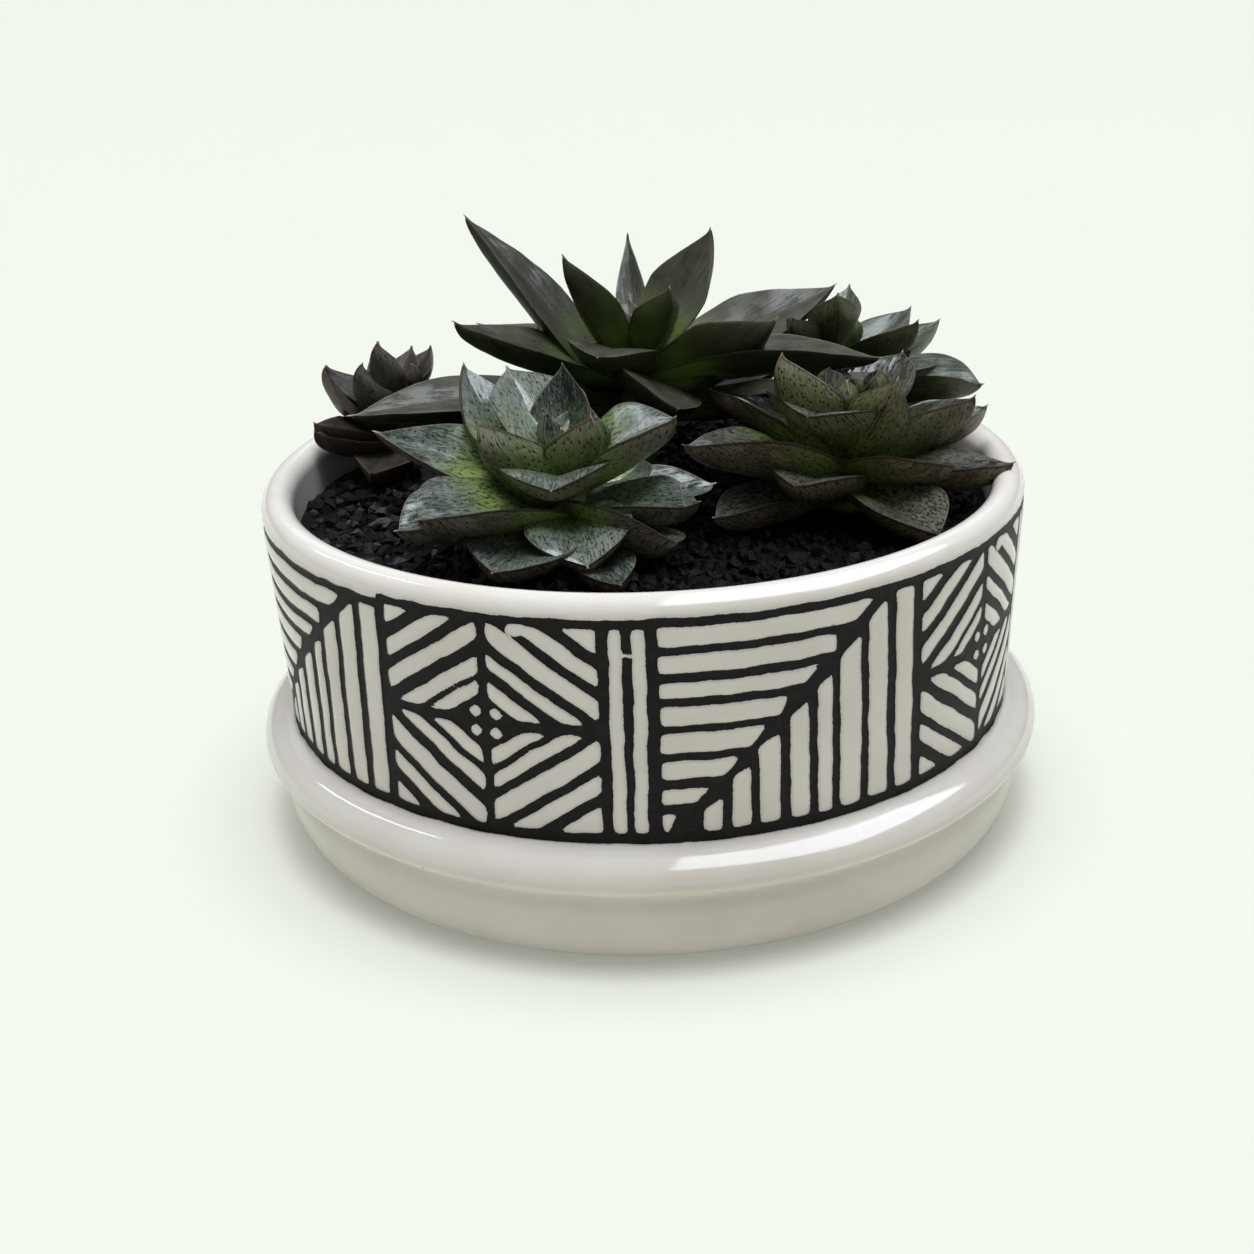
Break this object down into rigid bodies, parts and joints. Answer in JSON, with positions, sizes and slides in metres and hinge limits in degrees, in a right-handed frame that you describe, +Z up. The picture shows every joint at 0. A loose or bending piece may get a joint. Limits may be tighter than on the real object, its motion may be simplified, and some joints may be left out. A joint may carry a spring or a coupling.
{
  "type": "potted echeveria",
  "caption": "Low round glazed bowl with a painted stripe-and-diamond band, planted with echeveria rosettes under a top dressing of black gravel.",
  "frame": {"origin": "middle of the bowl's foot, on the surface that it stands on", "axes": "+Z up along the bowl's axis; the front of the planting faces -Y, with +X to the right"},
  "size_m": [0.2118, 0.2118, 0.1531],
  "materials": {
    "white_glaze": "warm off-white gloss glaze with fine specks and a charcoal painted band",
    "dark_mix": "crumbly, dark brown and matte",
    "black_gravel": "angular black lava grains with satin faces",
    "olive_leaf": "waxy, grey-green to olive with lime bases and fine dark flecks",
    "speckled_leaf": "waxy, brown-green with dense dark speckles",
    "charcoal_leaf": "smooth, charcoal green with bright green bases and thin pale margins",
    "grey_green_leaf": "waxy, grey-green with brownish tips",
    "maroon_leaf": "waxy, dark maroon-brown"
  },
  "bodies": {
    "root": {"pot": "white_glaze", "potting_mix": "dark_mix", "gravel_top": "black_gravel", "rosette_front_left": "olive_leaf", "rosette_front_right": "speckled_leaf", "rosette_tall": "charcoal_leaf", "rosette_back_right": "grey_green_leaf", "rosette_back_left": "maroon_leaf"}
  },
  "joints": []
}
